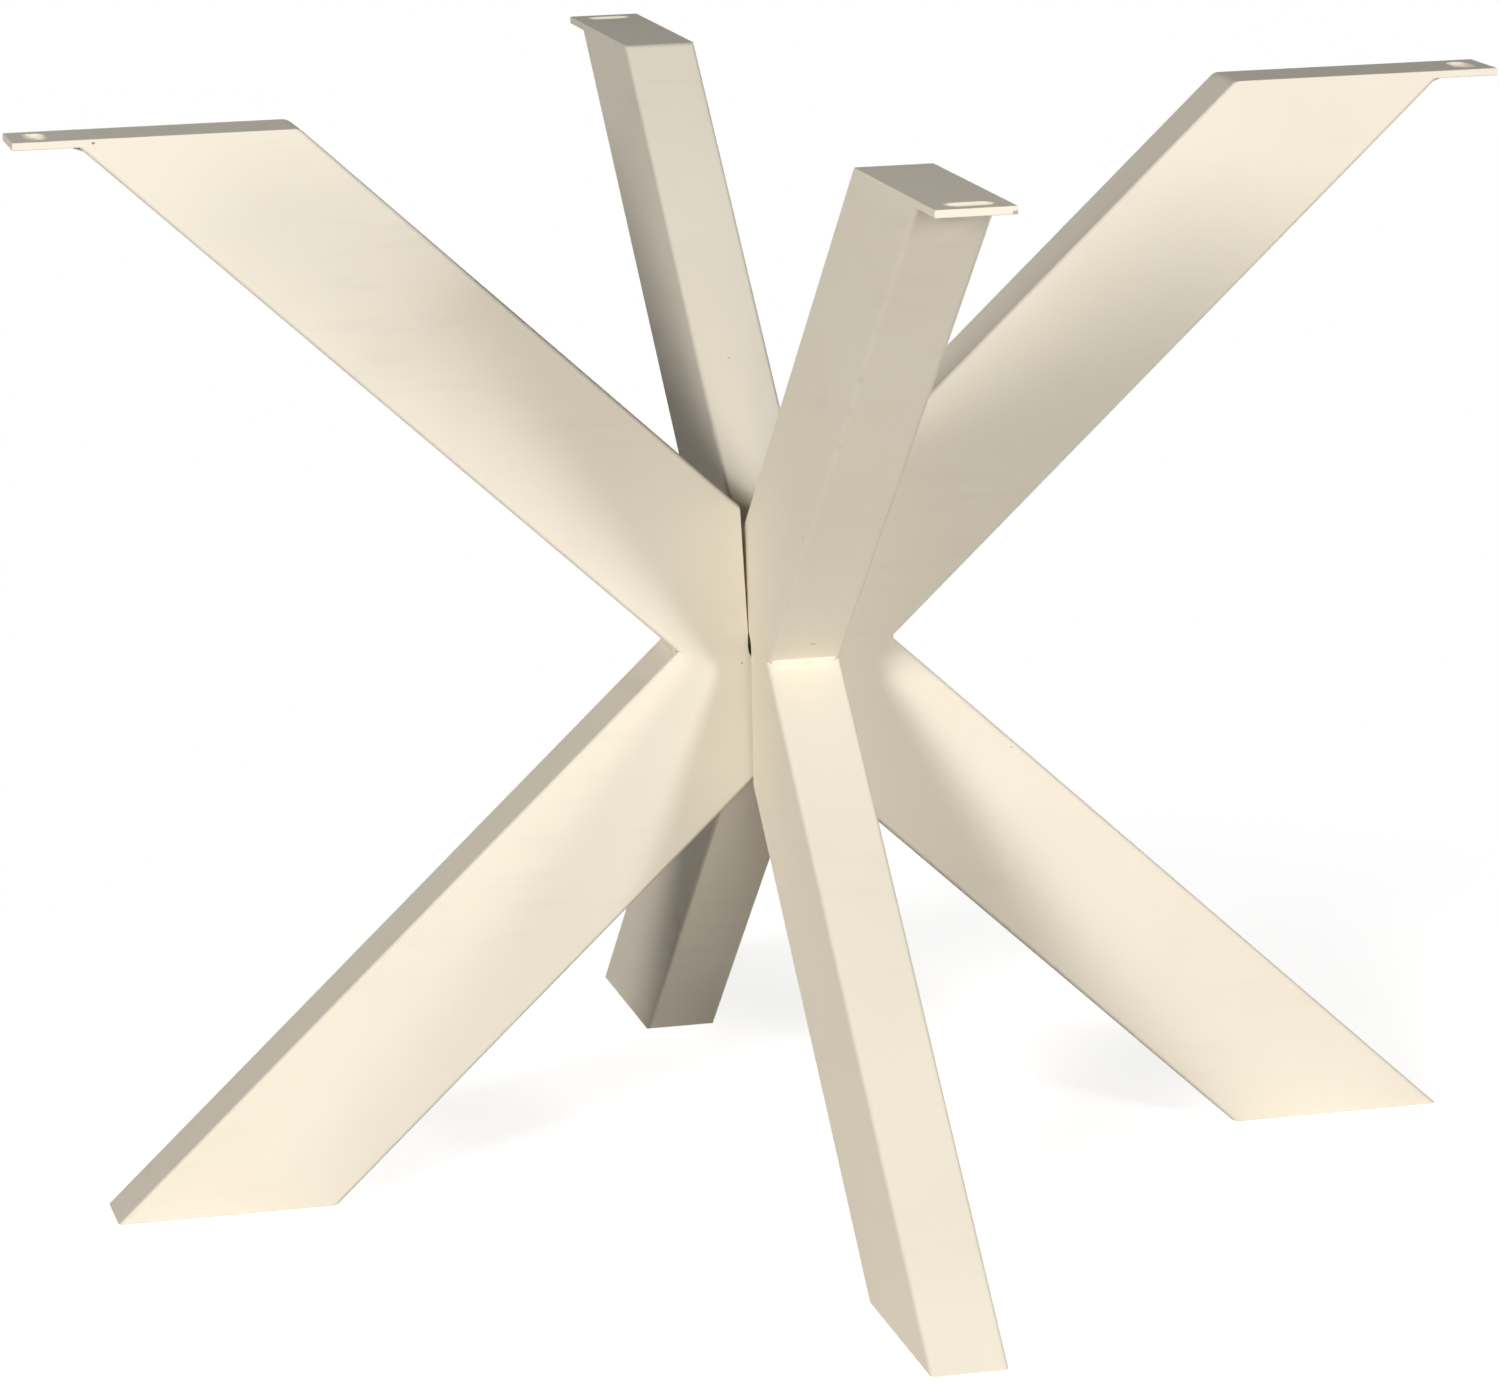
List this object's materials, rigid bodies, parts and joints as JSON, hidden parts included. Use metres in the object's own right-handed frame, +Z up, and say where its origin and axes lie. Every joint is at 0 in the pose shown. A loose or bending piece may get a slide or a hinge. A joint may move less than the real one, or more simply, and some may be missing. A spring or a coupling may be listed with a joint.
{
  "type": "x shaped table leg",
  "caption": "X shaped table leg: crossed frames of rectangular steel tube that slot together, with flat slotted plates under the table top and closed level feet.",
  "frame": {"origin": "on the floor, under the point where the two frames cross", "axes": "+Z up, X along the cradle frame from left to right, Y along the saddle frame from front to back"},
  "size_m": [0.994, 0.994, 0.72],
  "materials": {
    "powder_coat": "fine satin powder coat, cream"
  },
  "bodies": {
    "root": {"cradle_long_bar": "powder_coat", "cradle_upper_bar": "powder_coat", "cradle_lower_bar": "powder_coat", "cradle_slot_liner": "powder_coat", "cradle_plate_left": "powder_coat", "cradle_foot_left": "powder_coat", "cradle_plate_right": "powder_coat", "cradle_foot_right": "powder_coat", "cradle_corner_welds": "powder_coat", "cradle_ear_welds": "powder_coat", "saddle_long_bar": "powder_coat", "saddle_upper_bar": "powder_coat", "saddle_lower_bar": "powder_coat", "saddle_slot_liner": "powder_coat", "saddle_plate_front": "powder_coat", "saddle_foot_front": "powder_coat", "saddle_plate_back": "powder_coat", "saddle_foot_back": "powder_coat", "saddle_corner_welds": "powder_coat", "saddle_ear_welds": "powder_coat"}
  },
  "joints": []
}
